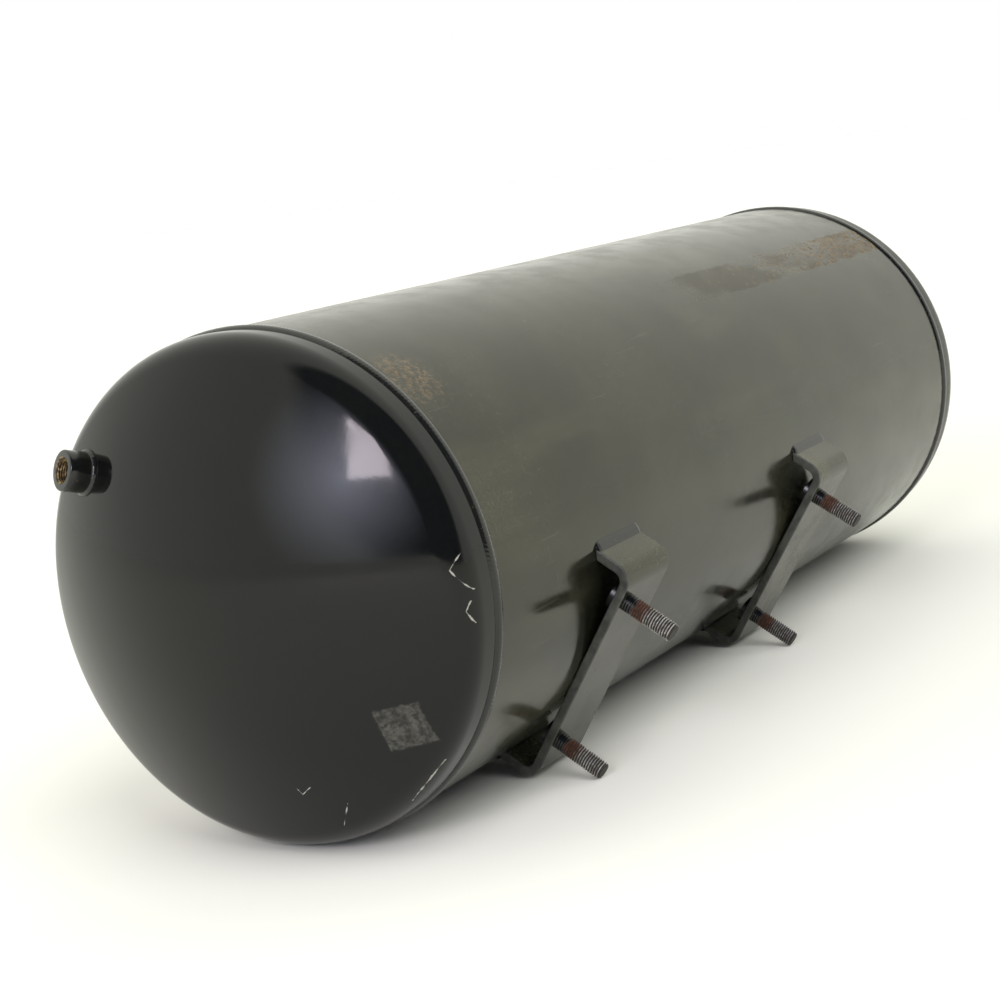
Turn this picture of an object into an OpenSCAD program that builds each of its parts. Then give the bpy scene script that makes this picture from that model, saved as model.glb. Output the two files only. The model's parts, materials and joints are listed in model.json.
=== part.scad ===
// Air receiver tank: a rolled steel shell with two dished heads, ports for air and drain, and two
// bent strip brackets whose studs fasten the tank to a frame. Millimetres, +Z up.
// The tank lies along X on its two weld beads and leans on the tips of its lower studs.
// The studs point towards -Y and down. The front head is at -X.

/* [Tank] */
// Overall length over both dished heads
tank_l = 896; // [700:1:1200]
// Outside diameter of the shell
tank_d = 310; // [250:1:380]
// Wall thickness of the shell and of both heads
wall = 3; // [2:0.5:5]

/* [Heads] */
// Straight skirt between the weld bead and the knuckle
skirt_l = 10; // [6:1:20]
// Crown radius as a share of the outside diameter
crown_share = 0.9; // [0.85:0.01:1]
// Knuckle radius as a share of the outside diameter
knuckle_share = 0.077; // [0.07:0.001:0.1]

/* [Girth welds] */
// Width of the bead over the joint
bead_w = 8.8; // [6:0.2:12]
// Height of the bead above the shell
bead_h = 1.8; // [1:0.1:3]
// Root gap between the shell and each head
root_gap = 2; // [1:0.5:4]

/* [Seam] */
// Width of the lengthwise seam bead
seam_w = 8; // [5:0.5:12]
// Height of the lengthwise seam bead
seam_h = 1.2; // [0.6:0.1:2]
// Angle of the seam around the shell, from the stud side over the top
seam_a = 225; // [200:5:260]

/* [Head ports] */
// Outside diameter of the boss on each head
port_d = 25; // [22:1:32]
// Minor diameter of the port's M16 x 1.5 thread
port_bore_d = 14.38; // [12:0.01:18]
// Height of the boss above the crown
port_h = 15; // [8:1:20]
// Leg of the fillet weld around a boss
port_weld = 2; // [2:0.5:5]
// Distance from the toe of that weld to the crown's edge
port_margin = 4; // [1:0.5:80]
// Angle around the tank from the point opposite the studs up to the head ports
port_turn = 6.6; // [0:0.1:20]

/* [Drain port] */
// Outside diameter of the drain boss
drain_d = 32; // [28:1:40]
// Minor diameter of the drain's M22 x 1.5 thread
drain_bore_d = 20.38; // [16:0.01:24]
// Height of the drain boss above the shell
drain_h = 8; // [6:1:16]

/* [Brackets] */
// Length of the bracket over both bent ends
bracket_l = 163; // [130:1:200]
// Width of the bracket strip along the tank
bracket_w = 55; // [45:1:80]
// Thickness of the bracket strip
bracket_t = 6; // [4:0.5:8]
// Outer radius of the bends
bend_r = 12; // [8:1:18]
// Distance from the front bead's inner edge to the middle of the front bracket
bracket_x = 136; // [80:1:200]
// Distance between the middles of the two brackets
bracket_pitch = 300; // [200:1:420]
// Leg of the fillet weld at each end of a bracket
bracket_weld = 4; // [3:0.5:8]

/* [Studs] */
// Diameter of the studs (M12)
stud_d = 12; // [10:1:14]
// Length of a stud outside its bracket
stud_l = 35; // [20:1:50]
// Distance from the upper end of the bracket to its upper stud
upper_inset = 23; // [20:0.5:35]
// Distance from the lower end of the bracket to its lower stud
lower_inset = 31; // [20:0.5:35]
// Distance from the front edge of the strip to both studs
edge_inset = 10.5; // [10:0.5:27]
// Chamfer at the tip of a stud
stud_chamfer = 1.2; // [0.5:0.1:2]
// Diameter of the plain shank that fills the hole in the bracket
stud_shank_d = 12.6; // [12.2:0.1:14]
// Diameter of the flat head behind the bracket
stud_head_d = 20; // [16:1:24]
// Thickness of the flat head
stud_head_t = 3; // [2:0.5:4]

/* [Hidden] */
$fn = 96;

paint = [0.06, 0.06, 0.065];
bare_steel = [0.55, 0.5, 0.45];

// Gap between faces that meet, so that two pieces never share volume
touch = 0.05;
// Overshoot of a cutting shape past the face it cuts
over = 1;
// Facets of the large circles: the tool keeps them as true circles
fine = 360;

tank_r = tank_d / 2;
inner_r = tank_r - wall;
bead_r = tank_r + bead_h;

// Dished head: the crown and the knuckle meet at blend_a from the axis
crown_r = crown_share * tank_d;
knuckle_r = knuckle_share * tank_d;
crown_x = -sqrt(pow(crown_r - knuckle_r, 2) - pow(tank_r - knuckle_r, 2));
dish_h = crown_r + crown_x;
blend_a = asin((tank_r - knuckle_r) / (crown_r - knuckle_r));

// Stations along the tank, from its middle
tangent_x = tank_l / 2 - dish_h;
joint_x = tangent_x - skirt_l - bead_w / 2;
shell_x = joint_x - root_gap / 2;
skirt_x = joint_x + root_gap / 2;

// Section across the tank: v runs out along the studs and u up along the strip
web_v = tank_r + touch;
face_v = web_v + bracket_t;
tip_v = face_v + stud_l;
half_u = bracket_l / 2;
upper_u = half_u - upper_inset;
lower_u = lower_inset - half_u;
stud_lead = bracket_w / 2 - edge_inset;
foot_v = sqrt(pow(tank_r, 2) - pow(half_u, 2));

front_x = bracket_x - joint_x + bead_w / 2;
rear_x = front_x + bracket_pitch;

// Lean at which an edge of radius r, centred on (v, u), meets the plane under the beads
function lean_on(v, u, r = 0) = asin((bead_r - r) / norm([v, u])) - atan2(u, v);

stud_r = stud_d / 2;
lean = min(
    lean_on(tip_v - stud_chamfer, stud_r - lower_u),
    lean_on(face_v - bend_r, half_u - bend_r, bend_r)
);

// The middle of the footprint, half way between the upper studs' tips and the beads
stud_reach = tip_v * cos(lean) + (upper_u + stud_r - stud_chamfer) * sin(lean);
axis_y = (stud_reach - bead_r) / 2;

// Angle between the tank's axis and a head port near the crown's edge
port_a = asin(sin(blend_a) - (port_margin + port_weld + port_d / 2) / crown_r);
// Length of a boss behind the outer face of the wall
boss_depth = wall + 2;
// Chamfers at the rim and at the mouth of a boss
boss_rim = 1;
boss_mouth = 1.2;

// Puts a shape from the tank's own frame in its resting place. There the tank's axis is X, the
// studs point along -Y and the upper studs are on the +Z side.
module at_rest() {
    translate([0, axis_y, bead_r]) rotate([lean, 0, 0]) children();
}

// Revolves a half section about the tank's axis: its x is the radius and its y lies along X
module around_axis() {
    rotate([90, 0, 90]) rotate_extrude($fn = fine) children();
}

// Extrudes a section across the tank, drawn with v on x and u on y, around the station x
module along_axis(x, length) {
    translate([x, 0, 0]) rotate([90, 0, -90]) linear_extrude(height = length, center = true) children();
}

// Places a shape of the rear head, drawn from its tangent line, at the rear or the front
module at_rear() {
    at_rest() translate([tangent_x, 0, 0]) children();
}

module at_front() {
    at_rest() mirror([1, 0, 0]) translate([tangent_x, 0, 0]) children();
}

// Places a shape drawn along +Z, from the crown's outer face, at the head's port
module at_port() {
    rotate([port_turn, 0, 0]) translate([crown_x, 0, 0]) rotate([0, 0, port_a]) rotate([0, 90, 0])
        translate([0, 0, crown_r]) children();
}

// Places a shape drawn along +Z, from the tank's axis, at the drain port opposite the studs
module at_drain() {
    at_rest() rotate([-90, 0, 0]) children();
}

// Places a shape drawn along +Z, from the tank's axis, at a stud
module at_stud(x, u) {
    at_rest() translate([x - stud_lead, 0, u]) rotate([90, 0, 0]) children();
}

// Half section of the dish beyond its tangent line, inside the outer face by inset
module dish_section(inset) {
    far = 2 * crown_r;
    intersection() {
        translate([0, crown_x]) circle(crown_r - inset, $fn = fine);
        polygon([[0, crown_x], [far * sin(blend_a), crown_x + far * cos(blend_a)], [0, far]]);
        square(tank_r);
    }
    intersection() {
        translate([tank_r - knuckle_r, 0]) circle(knuckle_r - inset);
        square(tank_r);
    }
}

// Half section of the whole head, filled in down to its skirt's end
module head_section(inset, skirt) {
    dish_section(inset);
    translate([0, -skirt]) square([tank_r - inset, skirt]);
}

module dished_head() {
    color(paint) difference() {
        around_axis() difference() {
            head_section(0, tangent_x - skirt_x);
            head_section(wall, tangent_x - skirt_x + over);
        }
        at_port() cylinder(h = 4 * boss_depth, d = port_d + 2 * touch, center = true);
    }
}

// Boss from a set depth behind the wall's outer face, with a chamfered rim and mouth
module threaded_boss(outer_d, bore_d, height) {
    color(paint) difference() {
        union() {
            translate([0, 0, -boss_depth]) cylinder(h = boss_depth + height - boss_rim, d = outer_d);
            translate([0, 0, height - boss_rim])
                cylinder(h = boss_rim, d1 = outer_d, d2 = outer_d - 2 * boss_rim);
        }
        translate([0, 0, -boss_depth - over]) cylinder(h = boss_depth + height + 2 * over, d = bore_d);
        translate([0, 0, height - boss_mouth])
            cylinder(h = boss_mouth + over, d1 = bore_d, d2 = bore_d + 2 * (boss_mouth + over));
    }
}

// Fillet around a boss that stands square on the spherical crown
module port_fillet() {
    root_r = port_d / 2 + touch;
    color(paint) rotate_extrude() difference() {
        polygon([[root_r, port_weld], [root_r, -over], [root_r + port_weld, -over], [root_r + port_weld, 0]]);
        translate([0, -crown_r]) circle(crown_r + touch, $fn = fine);
    }
}

// Girth weld: the root that fills the gap, and the convex bead over it
module girth_weld() {
    arc_r = (pow(bead_w / 2, 2) + pow(bead_h, 2)) / (2 * bead_h);
    color(paint) around_axis() {
        intersection() {
            translate([bead_r - arc_r, joint_x]) circle(arc_r);
            translate([tank_r + touch, joint_x - bead_w]) square([bead_h, 2 * bead_w]);
        }
        translate([inner_r, shell_x + touch]) square([wall + bead_h / 2, root_gap - 2 * touch]);
    }
}

// Section of a solid bracket block, inside its outer face by inset
module block_section(inset) {
    translate([0, inset - half_u]) square([face_v - bend_r, bracket_l - 2 * inset]);
    translate([0, bend_r - half_u]) square([face_v - inset, bracket_l - 2 * bend_r]);
    for (side = [-1, 1])
        translate([face_v - bend_r, side * (half_u - bend_r)]) circle(bend_r - inset);
}

// Bent strip whose ends are cut to the shell, with a hole for each stud
module bracket(x) {
    at_rest() color(paint) difference() {
        along_axis(x, bracket_w) difference() {
            block_section(0);
            block_section(bracket_t);
            circle(tank_r + touch, $fn = fine);
        }
        for (u = [lower_u, upper_u])
            translate([x - stud_lead, 0, u]) rotate([90, 0, 0])
                cylinder(h = 2 * tank_r, d = stud_shank_d + 2 * touch);
    }
}

// Fillet between the shell and a bracket's end: side is 1 for the upper end, -1 for the lower
module bracket_fillet(x, side) {
    root_u = half_u + touch;
    at_rest() color(paint) along_axis(x, bracket_w) difference() {
        on_side(side) polygon([
            [foot_v + bracket_weld, root_u],
            [foot_v - 2 * bracket_weld, root_u],
            [foot_v - 2 * bracket_weld, root_u + bracket_weld],
            [foot_v - bracket_weld / 2, root_u + bracket_weld]
        ]);
        circle(tank_r + touch, $fn = fine);
    }
}

// Mirrors a section to the lower side of the strip
module on_side(side) {
    if (side > 0) children();
    else mirror([0, 1, 0]) children();
}

// Stud with a flat head behind the bracket, a shank in its hole and a chamfered tip
module stud(x, u) {
    at_stud(x, u) color(bare_steel) {
        translate([0, 0, web_v - touch - stud_head_t]) cylinder(h = stud_head_t, d = stud_head_d);
        translate([0, 0, web_v - touch]) cylinder(h = bracket_t + touch, d = stud_shank_d);
        translate([0, 0, face_v]) cylinder(h = stud_l - stud_chamfer, d = stud_d);
        translate([0, 0, tip_v - stud_chamfer])
            cylinder(h = stud_chamfer, d1 = stud_d, d2 = stud_d - 2 * stud_chamfer);
    }
}

module shell() {
    color(paint) difference() {
        at_rest() around_axis() translate([inner_r, -shell_x]) square([wall, 2 * shell_x]);
        at_drain() cylinder(h = 2 * tank_r, d = drain_d + 2 * touch);
    }
}

module front_head() {
    at_front() dished_head();
}

module rear_head() {
    at_rear() dished_head();
}

module front_girth_weld() {
    at_rest() mirror([1, 0, 0]) girth_weld();
}

module rear_girth_weld() {
    at_rest() girth_weld();
}

// Lengthwise bead between the two girth beads
module seam_weld() {
    arc_r = (pow(seam_w / 2, 2) + pow(seam_h, 2)) / (2 * seam_h);
    at_rest() color(paint) along_axis(0, 2 * (joint_x - bead_w / 2 - touch)) difference() {
        rotate([0, 0, seam_a]) translate([tank_r + seam_h - arc_r, 0]) circle(arc_r);
        circle(tank_r + touch, $fn = fine);
    }
}

module front_boss() {
    at_front() at_port() threaded_boss(port_d, port_bore_d, port_h);
}

module front_boss_weld() {
    at_front() at_port() port_fillet();
}

module rear_boss() {
    at_rear() at_port() threaded_boss(port_d, port_bore_d, port_h);
}

module rear_boss_weld() {
    at_rear() at_port() port_fillet();
}

module drain_boss() {
    at_drain() translate([0, 0, tank_r]) threaded_boss(drain_d, drain_bore_d, drain_h);
}

// Fillet around the drain boss, cut to the round of the shell
module drain_boss_weld() {
    color(paint) difference() {
        at_drain() translate([0, 0, tank_r - port_weld]) difference() {
            cylinder(h = 2 * port_weld, d1 = drain_d + 4 * port_weld, d2 = drain_d + touch);
            translate([0, 0, -over]) cylinder(h = 2 * (port_weld + over), d = drain_d + 2 * touch);
        }
        at_rest() rotate([0, 90, 0]) cylinder(h = tank_l, r = tank_r + touch, center = true, $fn = fine);
    }
}

module front_bracket() {
    bracket(front_x);
}

module front_bracket_upper_weld() {
    bracket_fillet(front_x, 1);
}

module front_bracket_lower_weld() {
    bracket_fillet(front_x, -1);
}

module rear_bracket() {
    bracket(rear_x);
}

module rear_bracket_upper_weld() {
    bracket_fillet(rear_x, 1);
}

module rear_bracket_lower_weld() {
    bracket_fillet(rear_x, -1);
}

module front_upper_stud() {
    stud(front_x, upper_u);
}

module front_lower_stud() {
    stud(front_x, lower_u);
}

module rear_upper_stud() {
    stud(rear_x, upper_u);
}

module rear_lower_stud() {
    stud(rear_x, lower_u);
}

shell();
front_head();
rear_head();
front_girth_weld();
rear_girth_weld();
seam_weld();
front_boss();
front_boss_weld();
rear_boss();
rear_boss_weld();
drain_boss();
drain_boss_weld();
front_bracket();
front_bracket_upper_weld();
front_bracket_lower_weld();
rear_bracket();
rear_bracket_upper_weld();
rear_bracket_lower_weld();
front_upper_stud();
front_lower_stud();
rear_upper_stud();
rear_lower_stud();
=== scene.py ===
# An air receiver tank: a rolled steel shell with two dished heads, welded all round, painted gloss
# black and worn by the road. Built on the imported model, in metres, with +Z up.
import json
import math

import bmesh
import bpy
import numpy as np
from mathutils import Matrix, Vector


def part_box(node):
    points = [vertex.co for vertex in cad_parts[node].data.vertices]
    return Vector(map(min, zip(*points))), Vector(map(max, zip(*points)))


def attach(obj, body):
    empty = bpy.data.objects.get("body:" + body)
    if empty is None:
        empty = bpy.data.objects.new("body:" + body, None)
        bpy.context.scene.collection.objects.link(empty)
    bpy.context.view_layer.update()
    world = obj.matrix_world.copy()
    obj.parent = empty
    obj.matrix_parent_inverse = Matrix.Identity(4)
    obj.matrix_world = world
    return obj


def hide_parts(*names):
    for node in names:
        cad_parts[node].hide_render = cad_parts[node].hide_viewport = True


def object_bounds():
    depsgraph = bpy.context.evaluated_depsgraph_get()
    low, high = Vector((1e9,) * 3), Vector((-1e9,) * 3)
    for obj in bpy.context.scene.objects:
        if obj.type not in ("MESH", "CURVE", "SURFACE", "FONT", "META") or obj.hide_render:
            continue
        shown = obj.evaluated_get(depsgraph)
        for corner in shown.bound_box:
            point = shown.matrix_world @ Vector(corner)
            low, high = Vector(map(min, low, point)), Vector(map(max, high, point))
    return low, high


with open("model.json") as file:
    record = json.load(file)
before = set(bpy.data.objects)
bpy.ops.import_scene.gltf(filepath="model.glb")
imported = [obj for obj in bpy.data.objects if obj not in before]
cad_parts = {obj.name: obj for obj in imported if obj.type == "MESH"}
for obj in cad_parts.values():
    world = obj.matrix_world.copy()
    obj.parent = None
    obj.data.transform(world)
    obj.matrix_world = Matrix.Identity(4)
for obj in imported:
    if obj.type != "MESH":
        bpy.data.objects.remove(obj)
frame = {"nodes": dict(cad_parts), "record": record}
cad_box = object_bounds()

scene = bpy.context.scene
nodes = frame["nodes"]
mounts = {mount["name"]: mount for mount in frame["record"]["mounts"]}
MM = 0.001


# ---------------------------------------------------------------------------------------------
# Camera: a long lens at the front head's end and on the stud side, a little above the tank and
# turned a few degrees, because the tank lies back on its studs' tips.
CAMERA_PLACE = (-1.2559, -0.7171, 0.3823)
CAMERA_TURN_DEG = (80.304, 8.041, -58.415)
CAMERA_LENS_MM = 70.3

camera_data = bpy.data.cameras.new("camera")
camera_data.lens = CAMERA_LENS_MM
camera_data.sensor_width = 36
camera = bpy.data.objects.new("camera", camera_data)
camera.location = CAMERA_PLACE
camera.rotation_euler = [math.radians(turn) for turn in CAMERA_TURN_DEG]
scene.collection.objects.link(camera)
scene.camera = camera


# ---------------------------------------------------------------------------------------------
# Floor and light: a pale studio floor under a wide soft sky. The sky is dimmer and bluer on the
# side that the front head faces, with one bright window in a haze there, and gloss paint mirrors
# them all.
FLOOR_RADIUS = 40
FLOOR_COLOUR = "#f4f4ea"
SKY_COLOUR = "#fffff6"
SKY_STRENGTH = 1.15
SHADE_COLOUR = "#2c3650"
BACKDROP_COLOUR = "#ffffff"
SHADE_TOWARDS = (-0.47, -0.67, 0.574)
SHADE_EDGE = (0.54, 0.67)
KEY_TURN_DEG = (38, -14, 0)
KEY_STRENGTH = 1.7
KEY_SPREAD_DEG = 50
WINDOW_TOWARDS = (-0.862, -0.19, 0.47)
WINDOW_FACES_YZ = (-0.09, 0.24)
WINDOW_DISTANCE = 3
WINDOW_COLOUR = "#fff1fa"
WINDOW_PANES = (("window", -0.04, (0.62, 0.8), 24), ("window_edge", 0.26, (0.09, 0.8), 3.5),
                ("window_corner", -0.27, (0.12, 0.12), 1.0))
WINDOW_RISES = {"window_corner": 0.42}
HAZE_COLOUR = "#d9dcf0"
HAZE_STRENGTH = 7.5
HAZE_TOWARDS = (-0.93, -0.07, 0.36)
HAZE_SPREAD_DEG = 28
HAZE_FALL = 1.6


def linear(hex_colour):
    """The linear RGBA of an sRGB hex colour."""
    parts = [int(hex_colour[i:i + 2], 16) / 255 for i in (1, 3, 5)]
    return [p / 12.92 if p <= 0.04045 else ((p + 0.055) / 1.055) ** 2.4 for p in parts] + [1]


def add(tree, kind, inputs=(), **settings):
    """Adds a node with its settings. inputs are links or values for its sockets, in order from
    the first, or by name or number in a dictionary."""
    made = tree.nodes.new("ShaderNode" + kind)
    for name, value in settings.items():
        setattr(made, name, value)
    for socket, source in inputs.items() if isinstance(inputs, dict) else enumerate(inputs):
        if isinstance(source, bpy.types.NodeSocket):
            tree.links.new(source, made.inputs[socket])
        else:
            made.inputs[socket].default_value = source
    return made


def new_material(name):
    """A material with an empty Principled shader, as (material, node tree, shader)."""
    material = bpy.data.materials.new(name)
    material.use_nodes = True
    tree = material.node_tree
    tree.nodes.clear()
    shader = add(tree, "BsdfPrincipled")
    add(tree, "OutputMaterial", {"Surface": shader.outputs["BSDF"]})
    return material, tree, shader


def mesh_piece(name, points, faces, smooth=True):
    """Links a new mesh object made from points and faces."""
    mesh = bpy.data.meshes.new(name)
    mesh.from_pydata(points, [], faces)
    mesh.validate()
    if smooth:
        mesh.shade_smooth()
    piece = bpy.data.objects.new(name, mesh)
    scene.collection.objects.link(piece)
    return piece


floor_points = [(0, 0, 0)]
floor_sides = 96
for i in range(floor_sides):
    turn = 2 * math.pi * i / floor_sides
    floor_points.append((FLOOR_RADIUS * math.cos(turn), FLOOR_RADIUS * math.sin(turn), 0))
floor_faces = [(0, i + 1, (i + 1) % floor_sides + 1) for i in range(floor_sides)]
floor = mesh_piece("studio_floor", floor_points, floor_faces, smooth=False)
floor_paint, tree, shader = new_material("studio_floor_paint")
shader.inputs["Base Color"].default_value = linear(FLOOR_COLOUR)
shader.inputs["Roughness"].default_value = 0.9
shader.inputs["Specular IOR Level"].default_value = 0.1
floor.data.materials.append(floor_paint)

sky = bpy.data.worlds.new("studio_sky")
sky.use_nodes = True
scene.world = sky
tree = sky.node_tree
tree.nodes.clear()
direction = add(tree, "TexCoord").outputs["Generated"]
facing = add(tree, "VectorMath", (direction, Vector(SHADE_TOWARDS).normalized()),
             operation="DOT_PRODUCT").outputs["Value"]
shade = add(tree, "MapRange", (facing, *SHADE_EDGE), interpolation_type="SMOOTHSTEP").outputs[0]
sky_light = add(tree, "Mix", {0: shade, 6: linear(SKY_COLOUR), 7: linear(SHADE_COLOUR)},
                data_type="RGBA").outputs[2]
facing = add(tree, "VectorMath", (direction, Vector(HAZE_TOWARDS).normalized()),
             operation="DOT_PRODUCT").outputs["Value"]
away_from_haze = add(tree, "Math", (facing,), operation="ARCCOSINE").outputs[0]
haze_edge = math.radians(HAZE_SPREAD_DEG)
haze = add(tree, "MapRange", (away_from_haze, 0.0, haze_edge, 1.0, 0.0)).outputs[0]
haze = add(tree, "Math", (haze, HAZE_FALL), operation="POWER").outputs[0]
haze_light = [part * HAZE_STRENGTH for part in linear(HAZE_COLOUR)[:3]] + [1]
sky_light = add(tree, "Mix", {0: haze, 6: sky_light, 7: haze_light},
                data_type="RGBA").outputs[2]
camera_ray = add(tree, "LightPath").outputs["Is Camera Ray"]
seen = add(tree, "Mix", {0: camera_ray, 6: sky_light, 7: linear(BACKDROP_COLOUR)},
           data_type="RGBA").outputs[2]
strength = add(tree, "MapRange", (camera_ray, 0.0, 1.0, SKY_STRENGTH, 1.0)).outputs[0]
background = add(tree, "Background", (seen, strength))
add(tree, "OutputWorld", {"Surface": background.outputs["Background"]})

key_data = bpy.data.lights.new("key", "SUN")
key_data.energy = KEY_STRENGTH
key_data.angle = math.radians(KEY_SPREAD_DEG)
key = bpy.data.objects.new("key", key_data)
key.rotation_euler = [math.radians(turn) for turn in KEY_TURN_DEG]
key.visible_glossy = False
scene.collection.objects.link(key)

head_place = Vector((cad_box[0].x, *WINDOW_FACES_YZ))
away = Vector(WINDOW_TOWARDS).normalized()
sideways = away.cross(Vector((0, 0, 1))).normalized()
upward = sideways.cross(away)
for name, shift, size, power in WINDOW_PANES:
    pane_data = bpy.data.lights.new(name, "AREA")
    pane_data.shape = "RECTANGLE"
    pane_data.size, pane_data.size_y = size
    pane_data.energy = power
    pane_data.color = linear(WINDOW_COLOUR)[:3]
    pane = bpy.data.objects.new(name, pane_data)
    pane.location = head_place + away * WINDOW_DISTANCE - sideways * shift
    pane.location += upward * WINDOW_RISES.get(name, 0)
    pane.rotation_euler = (-away).to_track_quat("-Z", "Y").to_euler()
    pane.visible_camera = False
    scene.collection.objects.link(pane)


# ---------------------------------------------------------------------------------------------
# Shell: 3 mm steel plate, rolled and welded along its seam, under sprayed gloss enamel. Road dust
# lies in it, and it is scratched, chipped and rusting along a band where a strap lay.
BLACK = "#0a0b0b"
DUST = "#94936f"
RUST = "#5c4833"
RUST_LIGHT = "#a08a68"
SCUFF = "#474338"
PRIMER = "#c9c7ba"
# A painted reflection tint: it gives the gloss on the shell and brackets the olive cast of reflected
# floor light.
PAINTED_REFLECTION_TINT = "#f3f3da"
ENAMEL_IOR = 1.5
DULL_ROUGHNESS = 0.55
RUST_ROUGHNESS = 0.75
PEEL_SIZE_MM = 3
PEEL_DEPTH = 0.012 * MM
WAVE_SIZE_MM = 120
WAVE_DEPTH = 0.7 * MM
PIT_DEPTH = 0.06 * MM
BAND_START_X = -0.03
BAND_FADE = 0.08
BAND_ANGLE_DEG = 50.5
BAND_HALF_WIDTH = 15 * MM
PATCH_X = -0.352
PATCH_ANGLE_DEG = 49
PATCH_SIZE = 32 * MM

girth_low, girth_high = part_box("front_girth_weld")
AXIS_Y = (girth_low.y + girth_high.y) / 2
AXIS_Z = (girth_low.z + girth_high.z) / 2
SHELL_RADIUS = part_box("shell")[1].z - AXIS_Z
SHELL_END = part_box("shell")[1].x


def grain(tree, place, size_mm, detail=3.0, stretch=(1, 1, 1), roughness=0.55, distortion=0.0):
    """A cloudy pattern, 0 to 1, whose features are about size_mm across."""
    mapped = add(tree, "Mapping", {"Vector": place, "Scale": stretch}).outputs[0]
    return add(tree, "TexNoise", {"Vector": mapped, "Scale": 1 / (size_mm * MM),
                                  "Detail": detail, "Roughness": roughness,
                                  "Distortion": distortion}).outputs["Fac"]


def enamel(name, dust=0.05, rust_spots=0.0, gloss=(0.10, 0.2), ior=ENAMEL_IOR, marks=None,
           chips=0.5, chip_level=0.8, hairs=1.0, tint="#ffffff"):
    """Sprayed gloss enamel: a deep black mirror softened by dust, hair scratches and chips. tint
    colours the mirror; on the shell and brackets it is a painted tint of the reflected light."""
    material, tree, shader = new_material(name)
    place = add(tree, "TexCoord").outputs["Object"]
    normal = add(tree, "NewGeometry").outputs["Normal"]
    normal_up = add(tree, "SeparateXYZ", (normal,)).outputs["Z"]

    # Dust lies in clouds and specks, and more of it on what faces up
    cloud = add(tree, "MapRange", (grain(tree, place, 90, 4), 0.35, 0.7, 0.35, 1.0),
                interpolation_type="SMOOTHSTEP").outputs[0]
    speckle = add(tree, "MapRange", (grain(tree, place, 2.2, 3), 0.4, 0.75, 0.6, 1.2),
                  interpolation_type="SMOOTHSTEP").outputs[0]
    settled = add(tree, "MapRange", (normal_up, -0.3, 0.9, 0.7, 1.2),
                  interpolation_type="SMOOTHSTEP").outputs[0]
    dusty = cloud
    for share in (speckle, settled, dust):
        dusty = add(tree, "Math", (dusty, share), operation="MULTIPLY").outputs[0]
    colour = add(tree, "Mix", {0: dusty, 6: linear(BLACK), 7: linear(DUST)},
                 data_type="RGBA").outputs[2]

    # Hair scratches run three ways and keep to patches
    hair = 0.0
    for stretch in ((1, 30, 30), (26, 1.1, 17), (15, 22, 1)):
        line = add(tree, "MapRange", (grain(tree, place, 45, 1, stretch, distortion=0.25),
                                      0.715, 0.725), interpolation_type="SMOOTHSTEP").outputs[0]
        hair = add(tree, "Math", (line, hair), operation="MAXIMUM").outputs[0]
    hairy = add(tree, "MapRange", (grain(tree, place, 70, 2), 0.45, 0.6, 0.0, hairs),
                interpolation_type="SMOOTHSTEP").outputs[0]
    hair = add(tree, "Math", (hair, hairy), operation="MULTIPLY").outputs[0]
    pale = add(tree, "Math", (hair, 0.06), operation="MULTIPLY").outputs[0]
    colour = add(tree, "Mix", {0: pale, 6: colour, 7: linear(PRIMER)}, data_type="RGBA").outputs[2]

    # Chips go down to the primer
    chip = add(tree, "MapRange", (grain(tree, place, 3, 2), chip_level, chip_level + 0.01),
               interpolation_type="SMOOTHSTEP").outputs[0]
    chipped = add(tree, "MapRange", (grain(tree, place, 45, 2), 0.46, 0.6),
                  interpolation_type="SMOOTHSTEP").outputs[0]
    chip = add(tree, "Math", (chip, chipped), operation="MULTIPLY").outputs[0]
    pale = add(tree, "Math", (chip, chips), operation="MULTIPLY").outputs[0]
    colour = add(tree, "Mix", {0: pale, 6: colour, 7: linear(PRIMER)}, data_type="RGBA").outputs[2]

    rusty = add(tree, "MapRange", (grain(tree, place, 7, 5, roughness=0.65), 0.68, 0.72, 0.0,
                                   rust_spots), interpolation_type="SMOOTHSTEP").outputs[0]
    scored, dull = hair, 0.0
    if marks:
        colour, rusty, scored, dull = marks(tree, place, colour, rusty, hair)
    mottle = add(tree, "MapRange", (grain(tree, place, 3, 4), 0.35, 0.65),
                 interpolation_type="SMOOTHSTEP").outputs[0]
    rust_colour = add(tree, "Mix", {0: mottle, 6: linear(RUST), 7: linear(RUST_LIGHT)},
                      data_type="RGBA").outputs[2]
    colour = add(tree, "Mix", {0: rusty, 6: colour, 7: rust_colour}, data_type="RGBA").outputs[2]
    tree.links.new(colour, shader.inputs["Base Color"])

    sheen = add(tree, "MapRange", (grain(tree, place, 25, 4), 0.3, 0.7, *gloss),
                interpolation_type="SMOOTHSTEP").outputs[0]
    rough = add(tree, "Math", (dusty, 0.9, sheen), operation="MULTIPLY_ADD").outputs[0]
    rough = add(tree, "Mix", {0: dull, 2: rough, 3: DULL_ROUGHNESS}, data_type="FLOAT").outputs[0]
    rough = add(tree, "Mix", {0: rusty, 2: rough, 3: RUST_ROUGHNESS}, data_type="FLOAT").outputs[0]
    tree.links.new(rough, shader.inputs["Roughness"])
    matt = add(tree, "Math", (dull, rusty), operation="MAXIMUM").outputs[0]
    mirror = add(tree, "MapRange", (matt, 0, 1, 0.5, 0.2), interpolation_type="SMOOTHSTEP").outputs[0]
    tree.links.new(mirror, shader.inputs["Specular IOR Level"])
    # The gloss takes the colour of tint, a painted reflection tint on the shell and brackets
    shader.inputs["Specular Tint"].default_value = linear(tint)
    shader.inputs["IOR"].default_value = ior

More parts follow.
